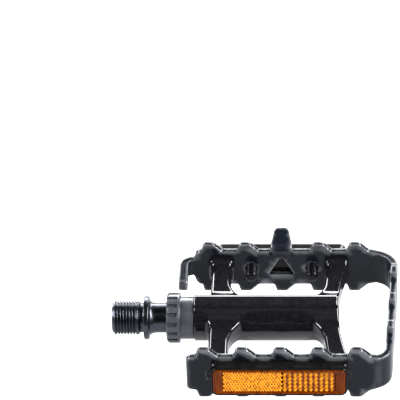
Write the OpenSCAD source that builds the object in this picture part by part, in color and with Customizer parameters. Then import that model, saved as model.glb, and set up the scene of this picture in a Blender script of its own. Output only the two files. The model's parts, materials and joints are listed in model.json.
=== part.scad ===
// Platform pedal with a toothed cage, one of a pair.
// The spindle runs along X. The origin lies on its axis, in the shoulder face that
// seats against the crank. +X leads away from the crank, +Y to the plate that
// carries the flip tab, +Z up. All lengths are millimetres.

/* [Spindle] */
// Major diameter of the crank thread, 9/16 inch
thread_d = 14.29; // [14.2:0.01:14.4]
// Distance from one thread crest to the next, 20 to the inch
thread_pitch = 1.27; // [1.2:0.01:1.4]
// Length of the spindle that goes into the crank
thread_len = 13.4; // [12:0.1:16]
// Diameter of the shoulder flange
flange_d = 18.2; // [17:0.1:19]
// Diameter of the bare shaft between the flange and the collar
shaft_d = 12.6; // [12:0.1:12.8]

/* [Body] */
// Barrel size across its flats
barrel_af = 18.5; // [18:0.1:20]
// Where the barrel begins, measured from the crank shoulder
barrel_x0 = 21.1; // [21:0.1:22]
// Where the barrel ends
barrel_x1 = 81.5; // [81:0.1:83]
// Thickness of the four arms
arm_h = 9.2; // [8:0.1:10]

/* [Cage] */
// Distance between the outer faces of the long plates
cage_depth = 72.8; // [70:0.1:76]
// Thickness of the bent strip
plate_t = 3; // [2.6:0.1:3.2]
// Height of the strip from tooth tip to tooth tip
tip_h = 25.2; // [24.6:0.1:26]
// Depth of the gaps between the teeth
tooth_h = 3.7; // [2.8:0.1:3.8]
// Distance from one tooth of a long plate to the next
tooth_pitch = 15.65; // [15.4:0.05:15.8]

/* [Reflectors] */
// Length of a reflector housing
reflector_len = 56; // [52:0.5:56]
// Height of a reflector housing
reflector_h = 14.6; // [13:0.1:15]
// How far a reflector stands off its plate
reflector_t = 5.3; // [5.2:0.1:7]

/* [Bearings] */
// Number of balls in each row
ball_count = 12; // [9:1:12]
// Diameter of a ball, 3/32 inch
ball_d = 2.38; // [2.2:0.01:2.4]

/* [Hidden] */
$fn = 64;

far = 60;
gap = 0.05;

// Spindle stations along X and their radii
thread_r = thread_d / 2;
root_r = thread_r - 0.78;
thread_lead = 1;
undercut_x = -2.6;
undercut_r = thread_r - 0.9;
flange_r = flange_d / 2;
flange_x = 2.2;
flange_bevel = 0.3;
fillet_r = 2.3;
fillet_x = 5.3;
crank_key = 6;
crank_key_depth = 6;
shaft_r = shaft_d / 2;
shaft_x = 23;
neck_r = 5.6;
core_r = 3.6;
nut_thread_r = 3;
nut_thread_x = 60;
nut_flat_z = nut_thread_r - 0.4;
nut_flat_x = 62;
spindle_x1 = 76.2;
spindle_bevel = 0.5;

// Cone, washer and nut on the spindle end
cone_x1 = 72.4;
washer_x = [72.45, 73.25];
washer_r = 5.2;
nut_x = [73.3, 75.9];
nut_d = 11;

// Ball rows
ball_r = ball_d / 2;
row_r = 5;
race_r = ball_r + gap;
row_x = [31.2, 68];

// Bores of the body
sleeve_r = 7.5;
collar_bore_r = 7.95;
collar_bore_x = 28;
bore_x1 = 77.5;
cup_r = 6.95;
cup_len = 4.6;
cup_lip = 1.4;
sleeve_x1 = 71;
sleeve_bore_r = 5.7;

// Lock collar and the seal ring inside it
collar_x = [9.6, 27.6];
collar_bore = 6.6;
collar_neck_r = 8.95;
spline_count = 16;
spline_r = 10.6;
spline_x1 = 15.2;
spline_w = 1.6;
spline_depth = 0.95;
seal_r = 8.15;
seal_x = [10.9, 13.5];
seal_lip = 0.6;

// Arms as [near side, far side] along X, first at the barrel, then at the plate
arm_in = [[27.5, 36.1], [27.6, 36.1]];
arm_out = [[74.9, 82.2], [77.2, 85.6]];
arm_x = [31.6, 81.4];
arm_side = barrel_af / 2 - 0.6;
web_r = [5, 12, 9];
foot_web_r = 3.4;
foot_w = 10.6;
foot_h = 11.4;
foot_t = 2.4;
foot_corner_r = 3;
dimple_r = 0.9;
dimple_depth = 0.5;

// Cage outline
cage_y = cage_depth / 2;
inner_y = cage_y - plate_t;
tip_z = tip_h / 2;
valley_z = tip_z - tooth_h;
corner_z = valley_z - 0.9;
front_x0 = 19.1;
corner_f = [95.5, -cage_y + 8.4];
corner_f_r = 8.4;
corner_r = [96.3, cage_y - 11];
corner_r_r = 11;
tip_len = 4.3;
ramp_len = 3.8;
rise_len = 1.1;
tooth_x0 = 24.1;
end_tooth_y = [-21.3, -3.3, 14.7];
corner_x = 98.5;

// Hook at the crank end of the rear plate
rear_x0 = 23.4;
hook_r = 6;
hook_t = 3.9;
hook_c = [19.7, cage_y - hook_r];
hook_in_r = hook_r - hook_t;
hook_in = [hook_c[0], inner_y - hook_in_r];
hook_y0 = 18.4;
hook_z = [-0.9, 4.5];
hook_root_z = -3.9;

// Flip tab, bent back from the rear plate above its triangular opening
tab_x = tooth_x0 + 2 * tooth_pitch + 2.1;
tab_w = 9;
tab_tip_w = 6.4;
tab_bend_z = reflector_h / 2 + 0.1;
tab_bend_r = 1.5;
tab_angle = 70;
tab_len = 8.1;
tab_relief = 0.6;
tab_bevel = 1.4;
window_w = 11;
window_z = [-3.7, 5.1];

// Strap slot in the end plate
slot_y = [14.6, 29];
slot_h = 7.6;

// Fasteners
m4_r = 2;
m4_head_h = 2.2;
m4_head_r = 3.75;
m4_len = 12.5;
m4_hole = 11;
m4_key = 2.9;
m4_socket = 2;
head_sink = 0.15;
m5_r = 2.5;
m5_head_r = 4.4;
m5_key = 3.2;
m5_socket = 1.4;
m5_head_h = 2;
stud_x = [44.65, 70.6];
stud_len = 6.4;
stud_pitch = 0.8;
reflector_x = (stud_x[0] + stud_x[1]) / 2 - 0.3;
lens_len = reflector_len - 1.8;
lens_h = reflector_h - 2;
lens_t = 1.8;
lens_proud = 0.25;
lens_corner_r = 2.05;
wall = 1.2;
flange_t = 2.2;

// Outline points of an annular screw thread from x0 to x1, as [radius, x]
function thread_line(x0, x1, crest, root, pitch) = [
    for (i = [0 : floor((x1 - x0) / pitch) - 1])
    for (p = [[0.14, crest], [0.5, root], [0.64, root], [1, crest]])
    [p[1], x0 + (i + p[0]) * pitch]];

// Arc points from angle a0 to a1 about [radius, x]
function arc(centre, r, a0, a1, steps = 12) = [
    for (i = [0 : steps])
    let (a = a0 + (a1 - a0) * i / steps)
    [centre[0] + r * cos(a), centre[1] + r * sin(a)]];

// A solid of revolution about the spindle axis from [radius, x] points
module turned(points) {
    rotate([0, 90, 0]) rotate_extrude() polygon(points);
}

// A plain rod or bore along the spindle axis
module rod(x0, x1, r) {
    translate([x0, 0, 0]) rotate([0, 90, 0]) cylinder(r = r, h = x1 - x0);
}

// An outline drawn in Y and Z, carried along X from x0 to x1
module along_x(x0, x1) {
    translate([x0, 0, 0]) rotate([90, 0, 90]) linear_extrude(x1 - x0) children();
}

// An outline drawn in X and Z, carried along Y from y0 to y1
module along_y(y0, y1) {
    translate([0, y1, 0]) rotate([90, 0, 0]) linear_extrude(y1 - y0) children();
}

// A rectangle with round corners, centred on the origin
module round_rect(w, h, r) {
    square([w - 2 * r, h], center = true);
    square([w, h - 2 * r], center = true);
    for (sx = [-1, 1], sy = [-1, 1])
        translate([sx * (w / 2 - r), sy * (h / 2 - r)]) circle(r);
}

// The concave web that fills a corner; sx and sy point into the open side
module web(x, y, r, sx, sy) {
    difference() {
        translate([min(x, x + sx * r), min(y, y + sy * r)]) square(r);
        translate([x + sx * r, y + sy * r]) circle(r);
    }
}

// Crank thread, shoulder, shaft, inboard race and threaded outer end in one forging
module spindle() {
    points = concat(
        [[0, -thread_len], [thread_r - thread_lead, -thread_len], [thread_r, -thread_len + thread_lead]],
        thread_line(-thread_len + thread_lead, undercut_x, thread_r, root_r, thread_pitch),
        [[undercut_r, undercut_x], [undercut_r, 0], [flange_r - flange_bevel, 0]],
        [[flange_r, flange_bevel], [flange_r, flange_x - flange_bevel], [flange_r - flange_bevel, flange_x]],
        arc([shaft_r + fillet_r, fillet_x], fillet_r, -100, -180),
        [[shaft_r, shaft_x], [neck_r, shaft_x + 1]],
        [[neck_r, row_x[0] - race_r], [row_r, row_x[0] - race_r]],
        arc([row_r, row_x[0]], race_r, -90, -180),
        [[core_r, row_x[0] + 1], [core_r, nut_thread_x], [nut_thread_r, nut_thread_x + 1]],
        [[nut_thread_r, spindle_x1 - spindle_bevel], [nut_thread_r - spindle_bevel, spindle_x1]],
        [[0, spindle_x1]]);
    color([0.09, 0.09, 0.1]) difference() {
        turned(points);
        translate([-thread_len - 1, 0, 0]) rotate([0, 90, 0])
            cylinder(d = crank_key / cos(30), h = crank_key_depth + 1, $fn = 6);
        translate([nut_flat_x, -far / 2, nut_flat_z]) cube(far);
    }
}

// Outboard cone, screwed on the spindle end; its race faces the crank
module outboard_cone() {
    points = concat(
        [[nut_thread_r + gap, row_x[1] - 0.6], [row_r - race_r, row_x[1] - 0.6]],
        arc([row_r, row_x[1]], race_r, 180, 90),
        [[row_r + 0.5, row_x[1] + race_r], [row_r + 0.5, cone_x1], [nut_thread_r + gap, cone_x1]]);
    color([0.6, 0.61, 0.63]) turned(points);
}

// Washer with a flat that follows the flat of the spindle thread
module keyed_washer() {
    color([0.62, 0.62, 0.6]) difference() {
        rod(washer_x[0], washer_x[1], washer_r);
        difference() {
            rod(washer_x[0] - 1, washer_x[1] + 1, nut_thread_r + gap);
            translate([nut_flat_x, -far / 2, nut_flat_z + gap]) cube(far);
        }
    }
}

// Hexagon lock nut
module lock_nut() {
    color([0.6, 0.6, 0.62]) difference() {
        translate([nut_x[0], 0, 0]) rotate([0, 90, 0]) cylinder(d = nut_d, h = nut_x[1] - nut_x[0], $fn = 6);
        rod(nut_x[0] - 1, nut_x[1] + 1, nut_thread_r + gap);
    }
}

// Plan outline of one arm on the side that sy names
module arm_plan(arm, sy) {
    root = arm[0];
    tip = arm[1];
    polygon([[root[0], 0], [min(root[1], barrel_x1), 0], [root[1], sy * arm_side],
        [tip[1], sy * inner_y], [tip[0], sy * inner_y], [root[0], sy * arm_side]]);
    for (side = [0, 1])
        web(tip[side] - (side - 0.5), sy * inner_y, foot_web_r, 2 * side - 1, -sy);
}

// The webs that widen the arms where they meet the barrel
module arm_webs(sy) {
    lap = 0.2;
    web(arm_in[0][0] + lap, sy * arm_side, web_r[0], -1, sy);
    web(arm_in[0][1] - lap, sy * arm_side, web_r[1], 1, sy);
    web(arm_out[0][0] + lap, sy * arm_side, web_r[2], -1, sy);
}

// Cast body: octagonal barrel with a blind bore, and four arms to the cage
module pedal_body() {
    color([0.04, 0.04, 0.045]) difference() {
        union() {
            translate([barrel_x0, 0, 0]) rotate([0, 90, 0]) rotate(22.5)
                cylinder(d = barrel_af / cos(22.5), h = barrel_x1 - barrel_x0, $fn = 8);
            translate([0, 0, -arm_h / 2]) linear_extrude(arm_h)
                for (sy = [-1, 1]) {
                    arm_plan(arm_in, sy);
                    arm_plan(arm_out, sy);
                    arm_webs(sy);
                }
            for (x = arm_x, sy = [-1, 1])
                translate([x, sy * (inner_y - foot_t / 2), 0])
                    along_y(-foot_t / 2, foot_t / 2) round_rect(foot_w, foot_h, foot_corner_r);
        }
        rod(barrel_x0 - 1, bore_x1, sleeve_r);
        rod(barrel_x0 - 1, collar_bore_x, collar_bore_r);
        rod(barrel_x1 - dimple_depth, far * 2, dimple_r);
        for (x = arm_x, sy = [-1, 1])
            translate([x, sy * inner_y, 0]) along_y(-m4_hole, m4_hole) circle(m4_r + gap);
    }
}

// Splined collar that screws into the barrel and holds the bearing unit
module lock_collar() {
    color([0.2, 0.2, 0.22]) difference() {
        turned([[collar_bore, collar_x[0]], [spline_r - 1, collar_x[0]], [spline_r, collar_x[0] + 0.9],
            [spline_r, spline_x1], [collar_neck_r, spline_x1], [collar_neck_r, barrel_x0 - gap],
            [collar_bore_r - gap, barrel_x0 - gap], [collar_bore_r - gap, collar_x[1]],
            [collar_bore, collar_x[1]]]);
        for (i = [0 : spline_count - 1])
            rotate([i * 360 / spline_count, 0, 0])
                translate([collar_x[0] - 1, -spline_w / 2, spline_r - spline_depth])
                    cube([spline_x1 - collar_x[0] + 0.2, spline_w, 2]);
        rod(seal_x[0] - 0.1, seal_x[1] + 0.1, seal_r + gap);
    }
}

// Rubber lip ring that rides on the shaft inside the collar
module seal_ring() {
    color([0.05, 0.05, 0.05]) turned([[shaft_r + gap, seal_x[0] + 0.7], [shaft_r + seal_lip, seal_x[0]],
        [seal_r, seal_x[0]], [seal_r, seal_x[1]], [shaft_r + seal_lip, seal_x[1]],
        [shaft_r + gap, seal_x[1] - 0.9]]);
}

// Steel tube that carries the two bearing cups in the blind bore
module bearing_sleeve() {
    start = collar_bore_x + 0.3;
    outer_r = sleeve_r - 0.04;
    seat_x = [row_x[0] - cup_lip + cup_len, row_x[1] + cup_lip - cup_len];
    color([0.55, 0.56, 0.58]) turned([[cup_r, start], [outer_r, start], [outer_r, sleeve_x1],
        [cup_r, sleeve_x1], [cup_r, seat_x[1]], [sleeve_bore_r, seat_x[1]],
        [sleeve_bore_r, seat_x[0]], [cup_r, seat_x[0]]]);
}

// A pressed bearing cup; side is 1 where its race faces the crank, -1 where it faces away
module cup(x, side) {
    race = [for (p = arc([0, 0], race_r, 90, 0)) [row_r + p[1], x + side * p[0]]];
    outer_r = cup_r - 0.03;
    back_x = x + side * (cup_len - cup_lip - 0.04);
    turned(concat([[row_r + race_r, x - side * cup_lip]], race,
        [[row_r, back_x], [outer_r, back_x], [outer_r, x - side * cup_lip]]));
}

module inboard_cup() {
    color([0.66, 0.67, 0.69]) cup(row_x[0], 1);
}

module outboard_cup() {
    color([0.66, 0.67, 0.69]) cup(row_x[1], -1);
}

// One row of loose balls
module ball_row(x) {
    for (i = [0 : ball_count - 1])
        rotate([i * 360 / ball_count, 0, 0]) translate([x, 0, row_r]) sphere(ball_r);
}

module inboard_balls() {
    color([0.8, 0.8, 0.82]) ball_row(row_x[0]);
}

module outboard_balls() {
    color([0.8, 0.8, 0.82]) ball_row(row_x[1]);
}

// Plan of the space inside the strip (inset = plate_t) or of its outer edge (inset = 0)
module cage_plan(inset, x0) {
    y = cage_y - inset;
    rf = corner_f_r - inset;
    rr = corner_r_r - inset;
    span = corner_r - corner_f;
    lean = asin((corner_f_r - corner_r_r) / norm(span)) - atan(span[0] / span[1]);
    n = [cos(lean), sin(lean)];
    polygon([[x0, -y], [corner_f[0], -y], corner_f + rf * n, corner_r + rr * n,
        [corner_r[0], y], [x0, y]]);
    translate(corner_f) circle(rf, $fn = 96);
    translate(corner_r) circle(rr, $fn = 96);
}

// Everything above the toothed edge of a long plate, drawn in X and Z
module long_edge(skip_middle) {
    last = 4;
    for (i = [0 : last - 1])
        translate([tooth_x0 + i * tooth_pitch, 0])
            polygon([[tip_len, tip_z + 1], [tip_len, tip_z], [tip_len + ramp_len, valley_z],
                [tooth_pitch - rise_len, valley_z], [tooth_pitch, tip_z], [tooth_pitch, tip_z + 1]]);
    translate([tooth_x0 + last * tooth_pitch, 0])
        polygon([[tip_len, tip_z + 1], [tip_len, tip_z], [tip_len + ramp_len, valley_z],
            [corner_x - tooth_x0 - last * tooth_pitch, corner_z],
            [corner_x - tooth_x0 - last * tooth_pitch, tip_z + 1]]);
    polygon([[tooth_x0, tip_z + 1], [tooth_x0, tip_z], [tooth_x0 - rise_len, valley_z],
        [front_x0 + 1.2, valley_z - 0.4], [front_x0, valley_z - 1.6], [0, valley_z - 1.6], [0, tip_z + 1]]);
    if (skip_middle) {
        translate([tooth_x0 + 2 * tooth_pitch - 2, valley_z]) square([tip_len + ramp_len + 2, far]);
        translate([tab_x - tab_w / 2 - tab_relief, tab_bend_z]) square([tab_w + 2 * tab_relief, far]);
    }
}

// Everything above the toothed edge of the end plate, drawn in Y and Z
module end_edge() {
    count = len(end_tooth_y) - 1;
    polygon(concat(
        [[-far, tip_z + 1], [-far, corner_z], [end_tooth_y[0] - 4, corner_z]],
        [for (i = [0 : count]) for (p = [[-rise_len, valley_z], [0, tip_z], [tip_len + 0.5, tip_z],
            [tip_len + ramp_len + 0.5, valley_z]]) [end_tooth_y[i] + p[0], p[1]]],
        [[end_tooth_y[count] + 12, corner_z], [far, corner_z], [far, tip_z + 1]]));
}

// Cuts the toothed profile along both plates and the end, on the upper side
module edge_cuts(skip_middle) {
    along_y(-far, 0) long_edge(false);
    along_y(0, far) long_edge(skip_middle);
    along_x(corner_x, 2 * far) end_edge();
}

// Flip tab: a strip bent back through tab_angle, narrowing to a round tip
module tab() {
    outer_r = tab_bend_r + plate_t;
    bend = [inner_y + outer_r, tab_bend_z];
    intersection() {
        along_x(tab_x - tab_w / 2, tab_x + tab_w / 2) {
            translate([inner_y, tab_bend_z - 1]) square([plate_t, 1]);
            intersection() {
                translate(bend) difference() {
                    circle(outer_r);
                    circle(tab_bend_r);
                }
                translate(bend) polygon([[0, 0], [-20, 0], [-20, 20],
                    [-20 * cos(tab_angle), 20 * sin(tab_angle)]]);
            }
            translate(bend) rotate(-tab_angle) translate([-outer_r, 0]) square([plate_t, tab_len]);
        }
        linear_extrude(far) {
            translate([tab_x - tab_w / 2, 0]) square([tab_w, cage_y + 0.8]);
            reach = inner_y + outer_r + tab_len - 1.6;
            half = tab_tip_w / 2;
            polygon([[tab_x - tab_w / 2, cage_y], [tab_x + tab_w / 2, cage_y],
                [tab_x + half, reach - tab_bevel], [tab_x + half - tab_bevel, reach],
                [tab_x - half + tab_bevel, reach], [tab_x - half, reach - tab_bevel]]);
        }
    }
}

// Hook: the rear plate narrows, turns forward at its crank end and thickens
module hook() {
    bevel = 1.2;
    overlap = 1.3;
    plate_end = rear_x0 + overlap;
    intersection() {
        linear_extrude(far, center = true) difference() {
            union() {
                intersection() {
                    translate(hook_c) circle(hook_r);
                    translate([0, hook_c[1]]) square([hook_c[0], far]);
                }
                translate([hook_c[0] - hook_r, hook_y0]) square([hook_r, hook_c[1] - hook_y0]);
                translate([hook_c[0], inner_y]) square([plate_end - hook_c[0], plate_t]);
            }
            translate(hook_in) circle(hook_in_r);
            translate([hook_in[0] - hook_in_r, 0]) square([far, hook_in[1]]);
        }
        along_x(0, plate_end) polygon([[hook_y0, hook_z[0] + bevel], [hook_y0 + 1, hook_z[0]],
            [hook_c[1] - 4, hook_z[0] - 0.4], [inner_y, hook_root_z], [inner_y, -far], [far, -far],
            [far, far], [inner_y, far], [inner_y, hook_z[1]], [hook_y0 + 1, hook_z[1]],
            [hook_y0, hook_z[1] - bevel]]);
        along_y(0, far) polygon([[0, hook_root_z], [hook_c[0], hook_root_z], [20.6, -7.2],
            [22.2, -valley_z], [plate_end, -valley_z], [plate_end, valley_z], [22.2, valley_z],
            [20.6, valley_z - 1.4], [hook_c[0] + 0.3, hook_z[1] + 0.1], [0, hook_z[1] + 0.1]]);
    }
}

// Cage: one strip bent into a U, toothed along both edges
module cage() {
    color([0.13, 0.14, 0.16]) difference() {
        union() {
            difference() {
                linear_extrude(tip_h, center = true) difference() {
                    cage_plan(0, front_x0);
                    cage_plan(plate_t, 0);
                    square([rear_x0, far]);
                }
                edge_cuts(true);
                mirror([0, 0, 1]) edge_cuts(false);
            }
            tab();
            hook();
        }
        along_y(inner_y - 1, far) polygon([[tab_x - window_w / 2, window_z[0]],
            [tab_x + window_w / 2, window_z[0]], [tab_x + 0.7, window_z[1]], [tab_x - 0.7, window_z[1]]]);
        along_x(corner_x, 2 * far) translate([(slot_y[0] + slot_y[1]) / 2, 0])
            round_rect(slot_y[1] - slot_y[0], slot_h, slot_h / 2 - 0.01);
        for (x = stud_x)
            along_y(-far, far) translate([x, 0]) circle(m5_r + gap);
        for (x = arm_x, sy = [-1, 1])
            translate([x, 0, 0]) countersink(sy, gap);
    }
}

// Hole or body of a flat head screw that ends flush with the outer face on side sy
module countersink(sy, clear) {
    top = cage_y - head_sink + clear * 10;
    rotate([sy > 0 ? -90 : 90, 0, 0]) rotate_extrude() polygon([[0, cage_y - m4_len + clear],
        [m4_r + clear, cage_y - m4_len + clear], [m4_r + clear, cage_y - m4_head_h - clear],
        [m4_head_r + clear, cage_y - 0.5], [m4_head_r + clear, top], [0, top]]);
}

// Four flat head socket screws that hold the strip to the arms
module cage_screws() {
    color([0.1, 0.1, 0.1]) for (x = arm_x, sy = [-1, 1])
        translate([x, 0, 0]) difference() {
            countersink(sy, 0);
            translate([0, sy * cage_y, 0]) along_y(-m4_socket, m4_socket)
                circle(d = m4_key, $fn = 6);
        }
}

// Reflector parts are drawn for the rear plate; the front set is its mirror image
module housing() {
    difference() {
        union() {
            along_y(cage_y, cage_y + flange_t) round_rect(reflector_len, reflector_h, 1.6);
            along_y(cage_y + flange_t - 0.1, cage_y + reflector_t) round_rect(reflector_len, reflector_h, 3);
        }
        along_y(cage_y + wall, cage_y + far)
            round_rect(lens_len + 2 * gap, lens_h + 2 * gap, lens_corner_r + gap);
        for (x = stud_x)
            along_y(0, far) translate([x - reflector_x, 0]) circle(m5_r + 0.25);
    }
}

// Prismatic lens that closes the housing; its rim stands a little proud
module lens() {
    along_y(cage_y + reflector_t - lens_t, cage_y + reflector_t + lens_proud)
        round_rect(lens_len, lens_h, lens_corner_r);
}

// Two pan head screws under the lens, screwed through the plate
module reflector_screws() {
    head_y = cage_y + wall;
    head_top = head_y + m5_head_h;
    for (x = stud_x) translate([x - reflector_x, 0, 0]) rotate([-90, 0, 0])
        difference() {
            rotate_extrude() polygon(concat([[0, inner_y - stud_len], [m5_r - 0.5, inner_y - stud_len]],
                thread_line(inner_y - stud_len + 0.4, inner_y - 0.2, m5_r, m5_r - 0.45, stud_pitch),
                [[m5_r, inner_y], [m5_r, head_y], [m5_head_r, head_y], [m5_head_r, head_y + m5_head_h / 2],
                [m5_head_r - 1.2, head_top], [0, head_top]]));
            translate([0, 0, head_top - m5_socket]) cylinder(d = m5_key, h = far, $fn = 6);
        }
}

module front_reflector_housing() {
    color([0.03, 0.03, 0.03]) translate([reflector_x, 0, 0]) mirror([0, 1, 0]) housing();
}

module front_reflector_lens() {
    color([0.95, 0.55, 0.08]) translate([reflector_x, 0, 0]) mirror([0, 1, 0]) lens();
}

module front_reflector_screws() {
    color([0.1, 0.1, 0.1]) translate([reflector_x, 0, 0]) mirror([0, 1, 0]) reflector_screws();
}

module rear_reflector_housing() {
    color([0.03, 0.03, 0.03]) translate([reflector_x, 0, 0]) housing();
}

module rear_reflector_lens() {
    color([0.95, 0.55, 0.08]) translate([reflector_x, 0, 0]) lens();
}

module rear_reflector_screws() {
    color([0.1, 0.1, 0.1]) translate([reflector_x, 0, 0]) reflector_screws();
}

spindle();
outboard_cone();
keyed_washer();
lock_nut();
pedal_body();
lock_collar();
seal_ring();
bearing_sleeve();
inboard_cup();
outboard_cup();
inboard_balls();
outboard_balls();
cage();
cage_screws();
front_reflector_housing();
front_reflector_lens();
front_reflector_screws();
rear_reflector_housing();
rear_reflector_lens();
rear_reflector_screws();
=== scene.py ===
"""Platform pedal: looks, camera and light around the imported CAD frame. Lengths are metres."""
import json
import math

import bpy
import numpy as np
import openvdb
from mathutils import Matrix, Vector


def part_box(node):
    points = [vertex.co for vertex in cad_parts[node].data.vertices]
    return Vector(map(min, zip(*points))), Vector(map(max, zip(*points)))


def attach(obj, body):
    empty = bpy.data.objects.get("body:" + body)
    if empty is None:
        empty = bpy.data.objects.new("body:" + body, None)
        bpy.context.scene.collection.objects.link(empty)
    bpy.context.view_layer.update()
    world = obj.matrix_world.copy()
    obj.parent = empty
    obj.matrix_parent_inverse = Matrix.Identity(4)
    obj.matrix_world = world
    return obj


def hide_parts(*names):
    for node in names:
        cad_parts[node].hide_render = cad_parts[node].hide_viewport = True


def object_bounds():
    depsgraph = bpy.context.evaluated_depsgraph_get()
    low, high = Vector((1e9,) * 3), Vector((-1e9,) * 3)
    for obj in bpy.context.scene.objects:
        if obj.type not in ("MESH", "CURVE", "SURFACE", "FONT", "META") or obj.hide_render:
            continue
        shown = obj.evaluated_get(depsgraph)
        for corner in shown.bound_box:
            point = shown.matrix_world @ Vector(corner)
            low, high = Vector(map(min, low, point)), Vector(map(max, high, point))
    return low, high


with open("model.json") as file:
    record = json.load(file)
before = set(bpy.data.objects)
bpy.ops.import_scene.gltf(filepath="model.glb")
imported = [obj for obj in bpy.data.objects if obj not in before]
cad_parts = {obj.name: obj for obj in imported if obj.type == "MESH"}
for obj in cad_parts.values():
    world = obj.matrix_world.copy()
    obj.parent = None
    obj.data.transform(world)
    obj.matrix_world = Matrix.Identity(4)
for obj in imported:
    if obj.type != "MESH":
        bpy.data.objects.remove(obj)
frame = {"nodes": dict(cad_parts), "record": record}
cad_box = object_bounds()

MM = 0.001


# ---------------------------------------------------------------- materials

def new_material(name, **settings):
    """A Principled material, with each setting given to the shader's own socket."""
    material = bpy.data.materials.new(name)
    material.use_nodes = True
    shader = material.node_tree.nodes["Principled BSDF"]
    for socket, value in settings.items():
        shader.inputs[socket.replace("_", " ")].default_value = value
    return material, shader


def feed(material, output, node, socket):
    """Links a node's output to another node's input."""
    material.node_tree.links.new(output, node.inputs[socket])


def noise(material, scale, detail=3.0):
    """A noise texture in object space; scale is waves per metre."""
    nodes = material.node_tree.nodes
    where = nodes.new("ShaderNodeTexCoord")
    texture = nodes.new("ShaderNodeTexNoise")
    texture.inputs["Scale"].default_value = scale
    texture.inputs["Detail"].default_value = detail
    feed(material, where.outputs["Object"], texture, "Vector")
    return texture.outputs["Fac"]


def spread(material, value, low, high):
    """Maps a 0 to 1 value to low to high."""
    node = material.node_tree.nodes.new("ShaderNodeMapRange")
    node.inputs["To Min"].default_value = low
    node.inputs["To Max"].default_value = high
    feed(material, value, node, "Value")
    return node.outputs["Result"]


def bump(material, shader, height, strength, distance):
    """Small relief; distance is its depth in metres."""
    node = material.node_tree.nodes.new("ShaderNodeBump")
    node.inputs["Strength"].default_value = strength
    node.inputs["Distance"].default_value = distance
    feed(material, height, node, "Height")
    feed(material, node.outputs["Normal"], shader, "Normal")


def product(material, first, second):
    """Two values multiplied."""
    node = material.node_tree.nodes.new("ShaderNodeMath")
    node.operation = "MULTIPLY"
    feed(material, first, node, 0)
    feed(material, second, node, 1)
    return node.outputs["Value"]


def tint(material, value, dark, light):
    """Goes from dark to light as a value goes from 0.3 to 0.7, where most of a noise lies."""
    node = material.node_tree.nodes.new("ShaderNodeValToRGB")
    node.color_ramp.elements[0].color = (*dark, 1)
    node.color_ramp.elements[1].color = (*light, 1)
    node.color_ramp.elements[0].position = 0.3
    node.color_ramp.elements[1].position = 0.7
    feed(material, value, node, "Fac")
    return node.outputs["Color"]


def stretched(material, scale, stretch, detail=3.0):
    """A noise texture drawn out along some axes, for turning marks and rolled grain."""
    nodes = material.node_tree.nodes
    where = nodes.new("ShaderNodeTexCoord")
    mapping = nodes.new("ShaderNodeMapping")
    mapping.inputs["Scale"].default_value = stretch
    texture = nodes.new("ShaderNodeTexNoise")
    texture.inputs["Scale"].default_value = scale
    texture.inputs["Detail"].default_value = detail
    feed(material, where.outputs["Object"], mapping, "Vector")
    feed(material, mapping.outputs["Vector"], texture, "Vector")
    return texture.outputs["Fac"]


def body_coat():
    """Deep gloss black lacquer over a casting, with a slight orange peel under it."""
    material, shader = new_material("body_casting", Specular_IOR_Level=0.5)
    lacquer = tint(material, noise(material, 700), (0.0035, 0.0035, 0.0045), (0.007, 0.007, 0.009))
    feed(material, lacquer, shader, "Base Color")
    feed(material, spread(material, noise(material, 150, 4), 0.05, 0.15), shader, "Roughness")
    bump(material, shader, noise(material, 420, 2), 0.10, 0.0001)
    return material


def edge_wear_and_glint(material, low, high):
    """0 on the flats, up to 1 along convex edges, broken up by noise: a painted highlight on the edges,
    and the coat worn through there.

    Low and high are the pointiness at which the lightening starts and at which it is full. A flat face has
    0.5.
    """
    nodes = material.node_tree.nodes
    shape = nodes.new("ShaderNodeNewGeometry")
    edge = nodes.new("ShaderNodeMapRange")
    edge.inputs["From Min"].default_value = low
    edge.inputs["From Max"].default_value = high
    feed(material, shape.outputs["Pointiness"], edge, "Value")
    return product(material, edge.outputs["Result"], spread(material, noise(material, 330), 0.1, 1.0))


def cage_coat():
    """Satin black coat on rolled aluminium strip, lighter and metallic along its cut edges: a painted edge
    highlight, and the coat worn through to bare metal there.
    """
    material, shader = new_material("cage_strip", Specular_IOR_Level=0.21)
    coat = tint(material, noise(material, 1100), (0.004, 0.005, 0.008), (0.007, 0.009, 0.014))
    # Painted highlight: convex edges turn light grey and metallic, standing for their glints as well as
    # for bare metal.
    wear_and_glint = edge_wear_and_glint(material, 0.507, 0.535)
    rubbed_and_glinting = material.node_tree.nodes.new("ShaderNodeMixRGB")
    rubbed_and_glinting.inputs["Color2"].default_value = (0.30, 0.31, 0.33, 1)
    feed(material, wear_and_glint, rubbed_and_glinting, "Fac")
    feed(material, coat, rubbed_and_glinting, "Color1")
    feed(material, rubbed_and_glinting.outputs["Color"], shader, "Base Color")
    feed(material, wear_and_glint, shader, "Metallic")
    feed(material, spread(material, noise(material, 260, 4), 0.12, 0.26), shader, "Roughness")
    bump(material, shader, stretched(material, 900, (0.25, 0.25, 1.0)), 0.06, 0.0001)
    return material


def spindle_steel():
    """Black oxide on turned steel, with fine rings left by the lathe."""
    material, shader = new_material("spindle_steel", Metallic=1.0)
    oxide = tint(material, noise(material, 350), (0.055, 0.058, 0.070), (0.085, 0.089, 0.105))
    feed(material, oxide, shader, "Base Color")
    rings = stretched(material, 300, (22.0, 0.6, 0.6), 2)
    feed(material, spread(material, rings, 0.20, 0.40), shader, "Roughness")
    bump(material, shader, rings, 0.15, 0.00004)
    return material


def bearing_steel():
    """Ground bearing steel, bright, with fine grinding marks."""
    material, shader = new_material("bearing_steel", Metallic=1.0)
    steel = tint(material, noise(material, 500), (0.50, 0.51, 0.53), (0.66, 0.67, 0.69))
    feed(material, steel, shader, "Base Color")
    marks = stretched(material, 300, (12.0, 0.8, 0.8))
    feed(material, spread(material, marks, 0.10, 0.24), shader, "Roughness")
    return material


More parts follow.
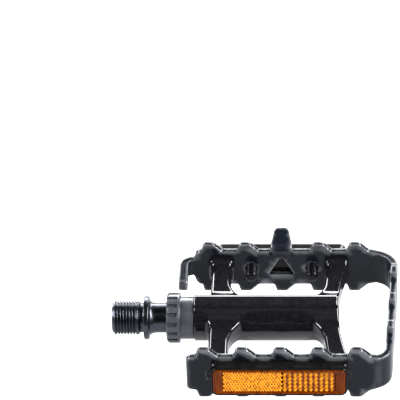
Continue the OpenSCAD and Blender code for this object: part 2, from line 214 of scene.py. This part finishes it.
def zinc():
    """Zinc plate, a little yellow and dull."""
    material, shader = new_material("zinc_hardware", Metallic=1.0)
    plate = tint(material, noise(material, 900), (0.42, 0.43, 0.42), (0.60, 0.60, 0.55))
    feed(material, plate, shader, "Base Color")
    feed(material, spread(material, noise(material, 500), 0.28, 0.48), shader, "Roughness")
    return material


def collar_plastic():
    """Moulded dark grey nylon with a satin face, with painted shade darkening it down in the grooves
    between the splines.
    """
    material, shader = new_material("collar_plastic", Specular_IOR_Level=0.6, Metallic=0.3)
    # Painted shade: ambient occlusion over 1.6 mm darkens the colour in the grooves and at the step up to
    # the sleeve.
    open_sky = material.node_tree.nodes.new("ShaderNodeAmbientOcclusion")
    open_sky.inputs["Distance"].default_value = 1.6 * MM
    shade = product(material, open_sky.outputs["AO"], spread(material, noise(material, 600), 0.6, 0.9))
    nylon = tint(material, shade, (0.008, 0.009, 0.012), (0.056, 0.059, 0.071))
    feed(material, nylon, shader, "Base Color")
    feed(material, spread(material, noise(material, 500), 0.24, 0.36), shader, "Roughness")
    bump(material, shader, noise(material, 4200, 2), 0.2, 0.00004)
    return material


def seal_rubber():
    """Dull black rubber."""
    material, shader = new_material("seal_rubber", Base_Color=(0.01, 0.01, 0.01, 1))
    feed(material, spread(material, noise(material, 900), 0.55, 0.8), shader, "Roughness")
    bump(material, shader, noise(material, 3000), 0.2, 0.00004)
    return material


def screw_black():
    """Black oxide screws."""
    material, shader = new_material("screw_black", Metallic=1.0)
    oxide = tint(material, noise(material, 900), (0.016, 0.016, 0.019), (0.034, 0.034, 0.038))
    feed(material, oxide, shader, "Base Color")
    feed(material, spread(material, noise(material, 1500), 0.28, 0.45), shader, "Roughness")
    return material


def housing_plastic():
    """Black ABS, moulded smooth, with faint flow marks."""
    material, shader = new_material("reflector_housing", Specular_IOR_Level=0.2)
    plastic = tint(material, noise(material, 500), (0.003, 0.003, 0.003), (0.006, 0.006, 0.006))
    feed(material, plastic, shader, "Base Color")
    flow = stretched(material, 250, (0.3, 1.0, 2.0))
    feed(material, spread(material, flow, 0.12, 0.20), shader, "Roughness")
    bump(material, shader, noise(material, 2600, 2), 0.12, 0.00004)
    return material


def lens_amber():
    """Clear amber plastic that looks dark where nothing behind it sends light back."""
    material, shader = new_material("reflector_lens", Specular_IOR_Level=0.12)
    streaks = stretched(material, 260, (6.0, 0.5, 0.5))
    amber = tint(material, streaks, (0.060, 0.010, 0.0002), (0.17, 0.030, 0.0005))
    feed(material, amber, shader, "Base Color")
    feed(material, spread(material, noise(material, 600), 0.05, 0.12), shader, "Roughness")
    return material


def lens_prisms():
    """The prisms' facets throw light back, coloured amber; a little light of their own stands for it."""
    material, shader = new_material("reflector_prisms", Metallic=0.3, Specular_IOR_Level=0.3)
    # Painted light and shade: each facet's glow, set by the way it faces plus some scatter, lightens or
    # darkens its colour and its own light.
    glow = material.node_tree.nodes.new("ShaderNodeAttribute")
    glow.attribute_name = "glow"
    colour = tint(material, glow.outputs["Fac"], (0.12, 0.022, 0.0004), (0.84, 0.30, 0.008))
    feed(material, colour, shader, "Base Color")
    feed(material, colour, shader, "Emission Color")
    shader.inputs["Emission Strength"].default_value = 0.36
    feed(material, spread(material, noise(material, 700), 0.10, 0.25), shader, "Roughness")
    bump(material, shader, noise(material, 3600, 1), 0.3, 0.0001)
    return material


MATERIALS = {
    "body_casting": body_coat(), "cage_strip": cage_coat(), "spindle_steel": spindle_steel(),
    "bearing_steel": bearing_steel(), "zinc_hardware": zinc(), "collar_plastic": collar_plastic(),
    "seal_rubber": seal_rubber(), "screw_black": screw_black(), "reflector_housing": housing_plastic(),
    "reflector_lens": lens_amber(), "reflector_prisms": lens_prisms(),
}
SLOTS = {row["node"]: row["material_slot"] for row in frame["record"]["subparts"]}
for name, node in frame["nodes"].items():
    node.data.materials.clear()
    node.data.materials.append(MATERIALS[SLOTS[name]])


# ---------------------------------------------------------------- mesh tools
# Everything below is drawn in millimetres; add_piece() turns it into metres.

def span(node):
    """A CAD node's lowest and highest corner in millimetres."""
    low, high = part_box(node)
    return np.array(low) / MM, np.array(high) / MM


def add_piece(name, points, faces, body, material, nodes, normals=None):
    """A mesh piece that stands for CAD nodes and hides them, with the material given."""
    data = bpy.data.meshes.new(name)
    data.from_pydata(np.asarray(points, float) * MM, [], [tuple(int(i) for i in face) for face in faces])
    data.validate()
    data.polygons.foreach_set("use_smooth", np.ones(len(data.polygons), bool))
    if normals is not None:
        data.normals_split_custom_set_from_vertices(normals)
    data.materials.append(MATERIALS[material])
    made = bpy.data.objects.new(name, data)
    bpy.context.scene.collection.objects.link(made)
    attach(made, body)
    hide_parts(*nodes)
    return made


def soft_min(a, b, k):
    """The smaller of two distances, blended over a width of k."""
    return np.minimum(a, b) - np.maximum(k - np.abs(a - b), 0) ** 2 / (4 * k)


def soft_max(a, b, k):
    """The larger of two distances, blended over a width of k."""
    return -soft_min(-a, -b, k)


def round_join(a, b, radius):
    """The union of two distances, with a round fillet in the corner between them."""
    corner = np.hypot(np.maximum(radius - a, 0), np.maximum(radius - b, 0))
    return np.maximum(radius, np.minimum(a, b)) - corner


def grid_axes(low, high, cell):
    """Coordinates of a cubic grid's cells from low to high, with a margin around them."""
    margin = 3 * cell
    return [np.arange(l - margin, h + margin + cell, cell) for l, h in zip(low, high)]


def sample(field, low, cell, points):
    """Trilinear values of field, whose first cell is at low, at points."""
    at = (points - low) / cell
    base = np.clip(np.floor(at).astype(int), 0, np.array(field.shape) - 2)
    part = at - base
    value = np.zeros(len(points))
    for corner in np.ndindex(2, 2, 2):
        weight = np.prod(np.where(np.array(corner) == 1, part, 1 - part), axis=1)
        where = base + corner
        value += weight * field[where[:, 0], where[:, 1], where[:, 2]]
    return value


LEAST_SLOPE = 0.05


def surface_of(field, start, cell, coarse):
    """Points, faces and normals of the surface where a gridded distance field is 0.

    Coarse above 0 lets flat places have larger faces. The points then take two Newton steps onto the
    surface, which takes the grid's facets out of it.
    """
    volume = openvdb.FloatGrid(3 * cell)
    volume.copyFromArray(np.ascontiguousarray(np.clip(field, -3 * cell, 3 * cell), dtype=np.float32))
    points, triangles, quads = volume.convertToPolygons(0.0, coarse)
    points = points.astype(float) * cell + start
    slopes = np.gradient(field, cell)
    for _ in range(2):
        slope = np.stack([sample(s, start, cell, points) for s in slopes], axis=1)
        steep = np.maximum(np.sum(slope * slope, axis=1), LEAST_SLOPE)
        step = sample(field, start, cell, points) / steep
        points -= slope * np.clip(step, -cell / 2, cell / 2)[:, None]
    slope = np.stack([sample(s, start, cell, points) for s in slopes], axis=1)
    normals = slope / np.maximum(np.linalg.norm(slope, axis=1), 1e-9)[:, None]
    return points, [tuple(f) for f in triangles] + [tuple(f) for f in quads], normals


def field_piece(name, distance, low, high, cell, body, material, nodes):
    """The surface where distance(x, y, z) is 0, as a piece."""
    axes = grid_axes(low, high, cell)
    x, y, z = np.meshgrid(*axes, indexing="ij", sparse=True)
    field = np.broadcast_to(distance(x, y, z), [len(a) for a in axes]).astype(np.float64)
    start = np.array([a[0] for a in axes])
    points, faces, normals = surface_of(field, start, cell, 0.0)
    return add_piece(name, points, faces, body, material, nodes, normals)


def blurred(field, sigma):
    """A Gaussian blur along all three axes; sigma is in cells."""
    reach = int(math.ceil(2.5 * sigma))
    offsets = range(-reach, reach + 1)
    weights = np.array([math.exp(-0.5 * (o / sigma) ** 2) for o in offsets])
    weights /= weights.sum()
    for axis in range(3):
        done = np.zeros_like(field)
        for offset, weight in zip(offsets, weights):
            done += weight * np.roll(field, offset, axis=axis)
        field = done
    return field


COARSE = 0.01


def softened_piece(name, node, cell, sigma, body, material):
    """A CAD node's own surface with its edges rounded: its distance field, blurred over sigma."""
    data = frame["nodes"][node].data
    data.calc_loop_triangles()
    points = np.array([v.co for v in data.vertices], np.float64) / MM / cell
    triangles = np.array([t.vertices for t in data.loop_triangles], np.uint32)
    band = 2.0 + math.ceil(2.5 * sigma / cell)
    volume = openvdb.FloatGrid.createLevelSetFromPolygons(
        points.astype(np.float32), triangles=triangles, halfWidth=band)
    first = np.floor(points.min(axis=0)).astype(int) - int(band) - 2
    last = np.ceil(points.max(axis=0)).astype(int) + int(band) + 2
    field = np.empty(last - first, np.float32)
    volume.copyToArray(field, ijk=tuple(int(i) for i in first))
    field = blurred(field.astype(np.float64) * cell, sigma / cell)
    points, faces, normals = surface_of(field, first * cell, cell, COARSE)
    return add_piece(name, points, faces, body, material, [node], normals)


def tube_faces(rows, count):
    """Quads between rings of count points, and one face over each end."""
    faces = []
    for start in range(0, (rows - 1) * count, count):
        for i in range(count):
            j = (i + 1) % count
            faces.append((start + i, start + j, start + count + j, start + count + i))
    faces.append(tuple(range(count))[::-1])
    faces.append(tuple((rows - 1) * count + i for i in range(count)))
    return faces


def turned_points(stations, count):
    """Rings about the X axis; a station is (x, radius), or (x, function of the angles)."""
    angles = np.arange(count) * 2 * np.pi / count
    points = []
    for x, r in stations:
        around = r(angles) if callable(r) else np.full(count, float(r))
        ring = [np.full(count, x), around * np.cos(angles), around * np.sin(angles)]
        points.append(np.stack(ring, axis=1))
    return np.concatenate(points)


def fillet(x0, r0, x1, r1, bulge, steps):
    """Stations on a quarter of an ellipse; bulge 1 starts along X, bulge 0 starts across it."""
    turns = [i / steps * math.pi / 2 for i in range(steps + 1)]
    if bulge:
        return [(x0 + (x1 - x0) * math.sin(t), r1 + (r0 - r1) * math.cos(t)) for t in turns]
    return [(x1 + (x0 - x1) * math.cos(t), r0 + (r1 - r0) * math.sin(t)) for t in turns]


ROOT_FLAT = 0.14
CREST_FLAT = 0.20
RINGS_PER_TURN = 14


def thread_ring(x, crest, depth, pitch, fade):
    """A ring of a right-hand screw thread at x, as a function of the angles."""
    def around(angles):
        phase = (x / pitch - angles / (2 * np.pi)) % 1.0
        from_groove = np.abs(2 * phase - 1)
        groove = np.clip((1 - CREST_FLAT - from_groove) / (1 - CREST_FLAT - ROOT_FLAT), 0, 1)
        return crest - depth * fade * groove
    return around


def thread_stations(x0, x1, crest, depth, pitch, fade_in, fade_out):
    """Rings for a screw thread from x0 to x1; its depth fades over fade_in and fade_out."""
    steps = int((x1 - x0) / pitch * RINGS_PER_TURN)
    stations = []
    for i in range(steps + 1):
        x = x0 + (x1 - x0) * i / steps
        fade = min(1, (x - x0) / fade_in, (x1 - x) / fade_out)
        stations.append((x, thread_ring(x, crest, depth, pitch, max(fade, 0))))
    return stations


def hexagon(apothem):
    """A ring with six flats, as a function of the angles."""
    def around(angles):
        return apothem / np.cos((angles + np.pi / 6) % (np.pi / 3) - np.pi / 6)
    return around


# ---------------------------------------------------------------- body casting

BODY_LOW, BODY_HIGH = span("pedal_body")
SCREWS_LOW, SCREWS_HIGH = span("cage_screws")
# The screws' axes, from the box round their heads. The arms' middles lie on them, and are rounded because
# that box falls a few microns short: its round edges are drawn with flats.
SCREW_X = (SCREWS_LOW[0] + SCREWS_HIGH[2], SCREWS_HIGH[0] - SCREWS_HIGH[2])
ARM_X = np.round(SCREW_X, 1)
INNER_Y = BODY_HIGH[1]
BARREL_R = BODY_HIGH[2]
BARREL_X0 = BODY_LOW[0]
BARREL_X1 = span("spindle")[1][0] + 5.3

# The octagon: how far its sides stand out beyond BARREL_R, and how its edges are rounded.
DRAFT = math.radians(10)
BARREL_SWELL = 0.3
TOP_SWELL = 0.05
PARTING_ROUND = 0.15
SLANT_EDGE = 3.0
TOP_EDGE = 1.2

# An arm's sides, from its middle: where they meet the barrel, and where they meet the plate.
INBOARD_ROOT = ARM_X[0] - 4.2
INBOARD_TIP = ARM_X[0] - 4.1
INBOARD_FAR = ARM_X[0] + 4.6
OUTBOARD_ROOT = ARM_X[1] - 6.6
OUTBOARD_TIP = ARM_X[1] - 4.3
OUTBOARD_FAR = ARM_X[1] + 8.6
ARM_HALF_T = 4.6
ARM_EDGE = 1.7
ARM_DRAFT = math.radians(6.5)

# The webs: the radii between arms and barrel, and how arms thicken from WEB_RISE_Y in towards the axis.
WEB_R_INBOARD = 6.0
WEB_R_MIDDLE = 14.3
WEB_R_OUTBOARD = 11.8
WEB_DEPTH = 3.2
WEB_RISE = 0.06
WEB_RISE_Y = 12.5
WEB_BLEND = 1.1

# The pad at an arm's end.
PAD_HALF_X = 2.7
PAD_HALF_Z = 3.1
PAD_CORNER_R = 2.6
PAD_T = 1.8
PAD_EDGE = 0.8
PAD_BLEND = 3.0

# The barrel's ends and hollow. The outboard end leans out by END_LEAN, and bows out beyond BOW_FROM.
END_OUT = 0.2
END_LEAN = 0.055
END_BOW = 0.0048
BOW_FROM = 8
END_EDGE = 1.4
MOUTH_EDGE = 0.6
FACE_EDGE = 0.25
BORE_R = 7.5
BORE_EDGE = 0.2
END_WALL = 4
MOUTH_R = 7.95
MOUTH_X = 28
DIMPLE_R = 1.0
DIMPLE_OUT = 0.45
DIMPLE_EDGE = 0.3


def arm_side(y, root, tip):
    """X of an arm's side at distance y from the axis; root is at the barrel, tip at the plate."""
    return root + (tip - root) * np.clip((y - BARREL_R) / (INNER_Y - BARREL_R), -0.3, 1)


def barrel_field(y, z):
    """An octagon whose upright sides lean in, away from the parting line, as a casting's draft does."""
    away = np.abs(y)
    height = np.sqrt(z * z + PARTING_ROUND)
    upright = (away - BARREL_R - BARREL_SWELL) * math.cos(DRAFT) + height * math.sin(DRAFT)
    slant = (away + np.abs(z)) * math.sqrt(0.5) - BARREL_R - BARREL_SWELL
    sides = soft_max(upright, slant, SLANT_EDGE)
    return soft_max(sides, np.abs(z) - BARREL_R - TOP_SWELL, TOP_EDGE)


def arms_field(x, y, z):
    """All four arms: drafted plates, webs that run into the barrel, and a pad at each arm's end."""
    away = np.abs(y)
    barrel = away - (BARREL_R - WEB_DEPTH)
    lean = np.abs(z) * math.tan(ARM_DRAFT)
    inboard = np.maximum(round_join(arm_side(away, INBOARD_ROOT, INBOARD_TIP) - x, barrel, WEB_R_INBOARD),
                         round_join(x - INBOARD_FAR, barrel, WEB_R_MIDDLE))
    outboard = round_join(arm_side(away, OUTBOARD_ROOT, OUTBOARD_TIP) - x, barrel, WEB_R_OUTBOARD)
    outboard = np.maximum(outboard, x - OUTBOARD_FAR)
    inside = np.clip(WEB_RISE_Y - away, 0, WEB_RISE_Y - BARREL_R + WEB_DEPTH)
    half_t = ARM_HALF_T + WEB_RISE * inside ** 2
    arms = soft_max(np.minimum(inboard, outboard) + lean, np.abs(z) - half_t, ARM_EDGE)
    pad = soft_max(pad_outline(x, z), (INNER_Y - PAD_T) - away, PAD_EDGE)
    return soft_min(arms, pad, PAD_BLEND)


def pad_outline(x, z):
    """The rounded blocks that the arms end in, against the plates, seen along Y."""
    aside = np.minimum(np.abs(x - SCREW_X[0]), np.abs(x - SCREW_X[1]))
    past_x = np.maximum(aside - PAD_HALF_X, 0)
    past_z = np.maximum(np.abs(z) - PAD_HALF_Z, 0)
    return np.sqrt(past_x ** 2 + past_z ** 2) - PAD_CORNER_R


def end_face(away):
    """X of the outboard end, which leans and bows outward away from the axis."""
    return BARREL_X1 + END_OUT + END_LEAN * away + END_BOW * np.maximum(away - BOW_FROM, 0) ** 2


def hollow_field(x, from_axis):
    """The bore for the bearing unit, and the wider mouth that the collar sits in."""
    bore = np.maximum(from_axis - BORE_R, x - (BARREL_X1 - END_WALL))
    mouth = np.maximum(from_axis - MOUTH_R, x - MOUTH_X)
    return np.minimum(bore, mouth)


def casting_field(x, y, z):
    """The whole casting: barrel and arms, cut to length, hollowed, with a dimple in its end."""
    away = np.abs(y)
    body = soft_min(barrel_field(y, z), arms_field(x, y, z), WEB_BLEND)
    body = soft_max(body, x - end_face(away), END_EDGE)
    body = soft_max(body, BARREL_X0 - x, MOUTH_EDGE)
    body = soft_max(body, away - INNER_Y, FACE_EDGE)
    body = soft_max(body, -hollow_field(x, np.sqrt(y * y + z * z)), BORE_EDGE)
    dimple = np.sqrt((x - BARREL_X1 - DIMPLE_OUT) ** 2 + y * y + z * z) - DIMPLE_R
    return soft_max(body, -dimple, DIMPLE_EDGE)


def casting():
    """The casting, with its draft, webs and soft edges."""
    field_piece("body_casting", casting_field, BODY_LOW, BODY_HIGH, cell=0.35, body="pedal",
                material="body_casting", nodes=["pedal_body"])


# ---------------------------------------------------------------- cage and collar

def cage():
    """The bent strip, with its cut edges rounded."""
    softened_piece("cage_strip", "cage", cell=0.3, sigma=0.34, body="pedal", material="cage_strip")


def collar():
    """The splined collar, with its moulded edges a little rounded."""
    softened_piece("splined_collar", "lock_collar", cell=0.17, sigma=0.13, body="pedal",
                   material="collar_plastic")


# ---------------------------------------------------------------- spindle

# X is 0 at the flange's face on the crank side, and the crank thread has X below 0.
CREST_R = 7.145
THREAD_DEPTH = 0.78
THREAD_PITCH = 1.27
THREAD_X1 = -2.4
NOSE_R = CREST_R - 1.5
UNDERCUT_R = CREST_R - 0.9
UNDERCUT_X0 = -1.9
UNDERCUT_X1 = -0.4
SOCKET_APOTHEM = 3.0
SOCKET_DEPTH = 6.0
FLANGE_T = 2.2
FLANGE_BEVEL = 0.45
BACK_BEVEL = 0.55
SHAFT_R = 6.3
NECK_R = 5.6
NECK_X = 24
RACE_HALF_W = 1.24
RACE_R = 5.0
CORE_R = 3.6
CORE_X1 = 60
NUT_THREAD_R = 3.0
TIP_BEVEL = 0.5


def crank_end(end):
    """Stations of the key socket, the crank thread and the undercut before the flange, from the end on."""
    stations = [(end + SOCKET_DEPTH, 0.01), (end + SOCKET_DEPTH, hexagon(SOCKET_APOTHEM))]
    stations += [(end + 0.35, hexagon(SOCKET_APOTHEM)), (end, SOCKET_APOTHEM * 1.25), (end, NOSE_R)]
    stations += fillet(end, NOSE_R, end + 0.9, CREST_R - THREAD_DEPTH, 0, 4)
    stations += thread_stations(end + 1.0, THREAD_X1, CREST_R, THREAD_DEPTH, THREAD_PITCH, 0.9, 1.0)
    stations += fillet(THREAD_X1 + 0.05, CREST_R, UNDERCUT_X0, UNDERCUT_R, 1, 3)
    return stations + fillet(UNDERCUT_X1, UNDERCUT_R, 0, UNDERCUT_R + 0.4, 1, 3)


def shoulder(flange_r):
    """Stations of the flange, with the long fillet behind it down to the shaft."""
    stations = fillet(0, flange_r - FLANGE_BEVEL, FLANGE_BEVEL, flange_r, 0, 5)
    stations += fillet(FLANGE_T - BACK_BEVEL, flange_r, FLANGE_T, flange_r - BACK_BEVEL, 1, 5)
    return stations + fillet(FLANGE_T, SHAFT_R + 1.9, FLANGE_T + 3, SHAFT_R, 0, 9)


def bearing_end(race_x, tip):
    """Stations of the shaft, its neck and ball race, the core, and the thread for cone and nut."""
    edge = race_x - RACE_HALF_W
    stations = [(14, SHAFT_R), (NECK_X - 1, SHAFT_R), (NECK_X, NECK_R), (edge, NECK_R), (edge, RACE_R)]
    stations += fillet(edge, RACE_R, race_x, RACE_R - RACE_HALF_W, 0, 5)
    stations += [(race_x + 1, CORE_R), (CORE_X1, CORE_R), (CORE_X1 + 1, NUT_THREAD_R)]
    return stations + [(tip - TIP_BEVEL, NUT_THREAD_R), (tip, NUT_THREAD_R - TIP_BEVEL), (tip, 0.01)]


def spindle():
    """The spindle in one turned piece, with a real helix for its crank thread."""
    low, high = span("spindle")
    ball_low, ball_high = span("inboard_balls")
    stations = crank_end(low[0]) + shoulder(high[2])
    stations += bearing_end((ball_low[0] + ball_high[0]) / 2, high[0])
    count = 96
    points = turned_points(stations, count)
    faces = tube_faces(len(stations), count)
    add_piece("spindle_forging", points, faces, "axle", "spindle_steel", ["spindle"])


# ---------------------------------------------------------------- reflectors

STUD_R = 2.5
STUD_THREAD_DEPTH = 0.42
STUD_PITCH = 0.8
HEAD_R = 4.4
HEAD_T = 2.0
LENS_CORNER_R = 2.05
LENS_END = 3.8
CORNER_POINTS = 7
PRISM_INSET = 1.3
PRISM_DEPTH = 0.5
PRISM_SPLIT = 0.53
LOZENGE_PITCH = 1.15
RIB_PITCH = 2.2
RIB_STEP = 1.0
FACET_SLOPE = 0.62
GLOW_SPREAD = 0.24


def facing(points, node):
    """Turns points drawn with +Y outward to the side of the pedal that a node is on."""
    low, high = span(node)
    side = -1 if low[1] + high[1] < 0 else 1
    return np.asarray(points) * np.array([1, side, 1]), side


def flipped(faces, side):
    """Turns the faces round where side is -1."""
    return [tuple(reversed(f)) for f in faces] if side < 0 else faces


def studs(end):
    """The threaded ends of the two screws that hold a reflector, and their heads under the lens."""
    node = end + "_reflector_screws"
    low, high = span(node)
    inner, outer = sorted((abs(low[1]), abs(high[1])))
    count = 40
    stations = [(inner, 0.01), (inner, STUD_R - 0.75)]
    stations += thread_stations(inner + 0.35, INNER_Y, STUD_R, STUD_THREAD_DEPTH, STUD_PITCH, 0.5, 0.4)
    head = outer - HEAD_T
    stations += [(head, STUD_R), (head, HEAD_R - 0.2), (head + 0.2, HEAD_R), (head + 1.1, HEAD_R - 0.1)]
    stations += [(head + 1.8, HEAD_R - 0.8), (outer, HEAD_R - 1.8), (outer, 0.01)]
    points = []
    faces = []
    for x in (low[0] + HEAD_R, high[0] - HEAD_R):
        ring = turned_points(stations, count)
        start = len(points) * len(ring)
        faces += [tuple(i + start for i in face) for face in tube_faces(len(stations), count)]
        points.append(np.stack([x + ring[:, 1], ring[:, 0], -ring[:, 2]], axis=1))
    points, side = facing(np.concatenate(points), node)
    add_piece(end + "_studs", points, flipped(faces, side), "pedal", "screw_black", [node])


def housing(end):
    """A reflector's tray, with its moulded edges rounded."""
    softened_piece(end + "_housing", end + "_reflector_housing", cell=0.25, sigma=0.28, body="pedal",
                   material="reflector_housing")


def rounded_ring(half_w, half_h, radius):
    """A rectangle's outline with round corners, as (x, z) points counter-clockwise."""
    ring = []
    for corner, (sx, sz) in enumerate(((1, 1), (-1, 1), (-1, -1), (1, -1))):
        for i in range(CORNER_POINTS):
            angle = (corner + i / (CORNER_POINTS - 1)) * math.pi / 2
            ring.append((sx * (half_w - radius) + radius * math.cos(angle),
                         sz * (half_h - radius) + radius * math.sin(angle)))
    return ring


def lens_frame(end):
    """The smooth part of a lens: rim and back, open where the prisms are."""
    node = end + "_reflector_lens"
    low, high = span(node)
    middle = (low + high) / 2
    half_w, half_h = (high[0] - low[0]) / 2, (high[2] - low[2]) / 2
    back, front = sorted((abs(low[1]), abs(high[1])))
    # Each level is an outline: how far in along X, how far in along Z, and its Y.
    levels = [(0, 0, back), (0, 0, front - 0.5), (0.12, 0.12, front - 0.15), (0.45, 0.4, front)]
    levels += [(0.95, 0.75, front - 0.05), (1.2, 0.9, front - 0.35), (LENS_END - 0.2, 1.0, front - 0.4)]
    levels += [(LENS_END, 1.15, front - 0.55), (LENS_END + 0.1, 1.2, back + 0.15)]
    points = []
    for inset_x, inset_z, y in levels:
        radius = max(LENS_CORNER_R - inset_z, 0.4)
        ring = rounded_ring(half_w - inset_x, half_h - inset_z, radius)
        points += [(middle[0] + x, y, middle[2] + z) for x, z in ring]
    count = 4 * CORNER_POINTS
    points, side = facing(points, node)
    faces = flipped(tube_faces(len(levels), count), -side)
    add_piece(end + "_lens_frame", points, faces, "pedal", "reflector_lens", [node])


def lozenges(x0, x1, z0, z1, pitch):
    """Three slanting facets in each cell of a hexagonal lattice: points, faces and the painted brightness
    of each.
    """
    points = []
    faces = []
    glows = []
    for j in range(int((z1 - z0) / pitch) + 1):
        for i in range(int((x1 - x0) / pitch)):
            x = x0 + (i + 0.5 * (j % 2)) * pitch
            z = z0 + j * pitch
            start = len(points)
            points.append((x, 0, z))
            for k in range(6):
                angle = math.pi / 6 + k * math.pi / 3
                drop = FACET_SLOPE * pitch / math.sqrt(3) * (0.5 if k % 2 else 1.0)
                points.append((x + pitch / math.sqrt(3) * math.cos(angle), -drop,
                               z + pitch * 2 / 3 * math.sin(angle)))
            for k in (0, 2, 4):
                faces.append((start, start + 1 + k, start + 1 + (k + 1) % 6, start + 1 + (k + 2) % 6))
            # Painted light and shade: each of the three facets gets its own brightness by the way it
            # faces.
            glows += [0.66, 0.30, 0.86]
    return points, faces, glows


def zigzags(x0, x1, z0, z1, pitch, row):
    """Upright ribs that zigzag, painted lit on one flank and painted in shade on the other."""
    points = []
    faces = []
    glows = []
    rows = int(round((z1 - z0) / row))
    columns = int(round((x1 - x0) / pitch))
    pitch = (x1 - x0) / columns
    for i in range(columns):
        start = len(points)
        for j in range(rows + 1):
            x = x0 + (i + 0.24 * (j % 2)) * pitch
            z = z0 + (z1 - z0) * j / rows
            points += [(x, -FACET_SLOPE * pitch / 2, z), (x + 0.46 * pitch, 0, z),
                       (x + pitch, -FACET_SLOPE * pitch / 2, z)]
        for j in range(rows):
            at = start + 3 * j
            faces += [(at, at + 3, at + 4, at + 1), (at + 1, at + 4, at + 5, at + 2)]
            # Painted light and shade: one flank of each rib is painted lit, the other shaded.
            glows += [0.96, 0.22] if j % 2 else [0.72, 0.05]
    return points, faces, glows


def prisms(end):
    """The facets behind the lens: fine lozenges over half of its length, zigzag ribs over the rest."""
    node = end + "_reflector_lens"
    low, high = span(node)
    front = max(abs(low[1]), abs(high[1])) - PRISM_DEPTH
    z0, z1 = low[2] + PRISM_INSET, high[2] - PRISM_INSET
    split = low[0] + (high[0] - low[0]) * PRISM_SPLIT
    patches = [lozenges(low[0] + LENS_END + 0.4, split, z0 + 0.3, z1, LOZENGE_PITCH),
               zigzags(split - 0.2, high[0] - LENS_END - 0.4, z0, z1, RIB_PITCH, RIB_STEP)]
    shades = np.random.default_rng(7)
    points = []
    faces = []
    glows = []
    for patch_points, patch_faces, patch_glows in patches:
        faces += [tuple(i + len(points) for i in face) for face in patch_faces]
        points += [(x, front + y, z) for x, y, z in patch_points]
        for glow in patch_glows:
            glows.append(min(max(glow + shades.uniform(-GLOW_SPREAD, GLOW_SPREAD), 0), 1))
    points, side = facing(points, node)
    made = add_piece(end + "_prisms", points, flipped(faces, -side), "pedal", "reflector_prisms", [node])
    made.data.polygons.foreach_set("use_smooth", np.zeros(len(made.data.polygons), bool))
    shade = made.data.attributes.new("glow", "FLOAT", "FACE")
    shade.data.foreach_set("value", np.array(glows, np.float32))


casting()
cage()
collar()
spindle()
for end in ("front", "rear"):
    studs(end)
    housing(end)
    lens_frame(end)
    prisms(end)


# ---------------------------------------------------------------- studio

PEDAL_MIDDLE = Vector((0.045, 0, 0))
FLOOR_SIDE = 3.0
FLOOR_GAP = 0.002


def studio_world():
    """A dark room; the lights do the rest."""
    world = bpy.data.worlds.new("studio")
    bpy.context.scene.world = world
    world.use_nodes = True
    world.node_tree.nodes["Background"].inputs["Color"].default_value = (0.020, 0.021, 0.025, 1)


def softbox(name, azimuth, elevation, distance, size, power):
    """A soft light aimed at the pedal; azimuth 0 is behind it, 90 to its right, in degrees."""
    around, up = math.radians(azimuth), math.radians(elevation)
    away = Vector((math.sin(around) * math.cos(up), math.cos(around) * math.cos(up), math.sin(up)))
    light = bpy.data.lights.new(name, "AREA")
    light.shape = "RECTANGLE"
    light.size, light.size_y = size
    light.energy = power
    lamp = bpy.data.objects.new(name, light)
    lamp.location = PEDAL_MIDDLE + distance * away
    lamp.rotation_euler = (-away).to_track_quat("-Z", "Y").to_euler()
    bpy.context.scene.collection.objects.link(lamp)
    return lamp


def floor():
    """White paper, out of reach of the turning pedal, brighter to the camera than in reflections."""
    reach = max(-cad_box[0][1], cad_box[1][1])
    corners = [(-1, -1), (1, -1), (1, 1), (-1, 1)]
    points = [(x * FLOOR_SIDE, y * FLOOR_SIDE, -reach - FLOOR_GAP) for x, y in corners]
    data = bpy.data.meshes.new("floor")
    data.from_pydata(points, [], [(0, 1, 2, 3)])
    plane = bpy.data.objects.new("floor", data)
    bpy.context.scene.collection.objects.link(plane)
    material, shader = new_material("floor_paper", Base_Color=(0.30, 0.31, 0.325, 1), Roughness=0.9,
                                    Emission_Color=(1, 1, 1, 1))
    rays = material.node_tree.nodes.new("ShaderNodeLightPath")
    glow = spread(material, rays.outputs["Is Camera Ray"], 0.17, 0.92)
    feed(material, glow, shader, "Emission Strength")
    data.materials.append(material)


def camera():
    """Looks along the photograph's line of sight, at a point beside the pedal's middle and above it."""
    azimuth, elevation, roll = (math.radians(a) for a in (1.95, 39.5, 1.27))
    distance = 1.1534
    focal_in_widths = 6.8375
    aside, below = 0.02151, 0.04964
    back = Vector((math.sin(azimuth) * math.cos(elevation), -math.cos(azimuth) * math.cos(elevation),
                   math.sin(elevation)))
    right = Vector((math.cos(azimuth), math.sin(azimuth), 0))
    up = back.cross(right)
    upright = Matrix((right, up, back)).transposed() @ Matrix.Rotation(-roll, 3, "Z")
    seen = Vector((aside, -below, -distance)).normalized()
    turn = seen.rotation_difference(Vector((0, 0, -1))).to_matrix()
    data = bpy.data.cameras.new("camera")
    data.sensor_width = 36
    data.lens = focal_in_widths * data.sensor_width
    data.clip_start = 0.01
    eye = bpy.data.objects.new("camera", data)
    eye.matrix_world = Matrix.Translation(PEDAL_MIDDLE + distance * back) @ (upright @ turn).to_4x4()
    bpy.context.scene.collection.objects.link(eye)
    bpy.context.scene.camera = eye


studio_world()
floor()
softbox("key_light", 180, 52, 1.6, (1.6, 1.6), 20).visible_glossy = False
softbox("rear_light", 0, 21, 1.5, (2.4, 0.52), 62)
softbox("sheen_light", 180, 64, 1.6, (1.8, 0.6), 0.7)
softbox("left_light", -98, 33, 1.4, (0.8, 0.42), 28)
softbox("right_light", 100, 32, 1.4, (1.2, 0.40), 44)
bpy.context.scene.view_settings.view_transform = "Standard"
camera()
